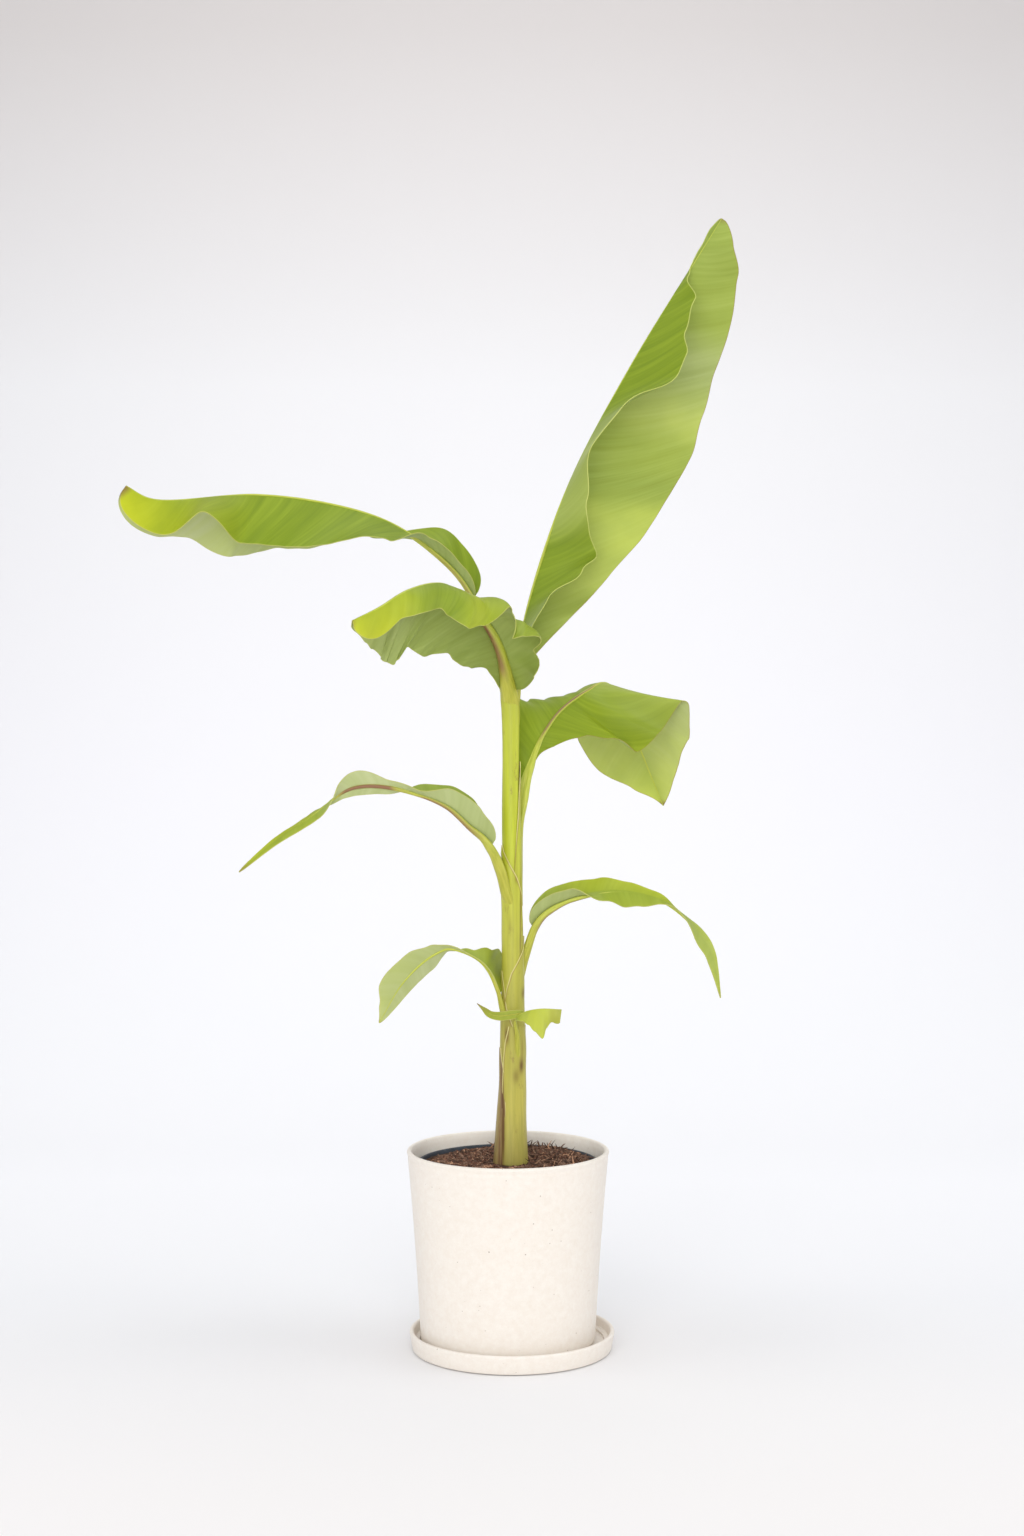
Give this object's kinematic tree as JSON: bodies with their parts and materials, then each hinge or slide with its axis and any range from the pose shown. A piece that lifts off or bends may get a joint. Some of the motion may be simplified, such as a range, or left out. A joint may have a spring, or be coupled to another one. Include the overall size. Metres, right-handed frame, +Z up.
{
  "type": "potted banana plant",
  "caption": "young banana plant with arched, folded leaves on a slim green stem, in a cream stoneware pot and saucer",
  "frame": {"origin": "middle of the saucer's flat underside, at the height of the floor that it stands on", "axes": "+Z up along the stem, -Y towards the front, the side that the picture shows, +X to the right seen from the front"},
  "size_m": [0.6061, 0.3898, 1.1275],
  "materials": {
    "stoneware": "satin",
    "nursery_plastic": "matte",
    "soil": "matte",
    "stem": "satin",
    "leaf": "satin"
  },
  "bodies": {
    "root": {"saucer": "stoneware", "pot": "stoneware", "nursery_pot": "nursery_plastic", "soil": "soil", "pseudostem": "stem", "leaf_1": "leaf", "leaf_2": "leaf", "leaf_3": "leaf", "leaf_4": "leaf", "leaf_5": "leaf", "leaf_6": "leaf", "leaf_7": "leaf", "leaf_8": "leaf"}
  },
  "joints": []
}
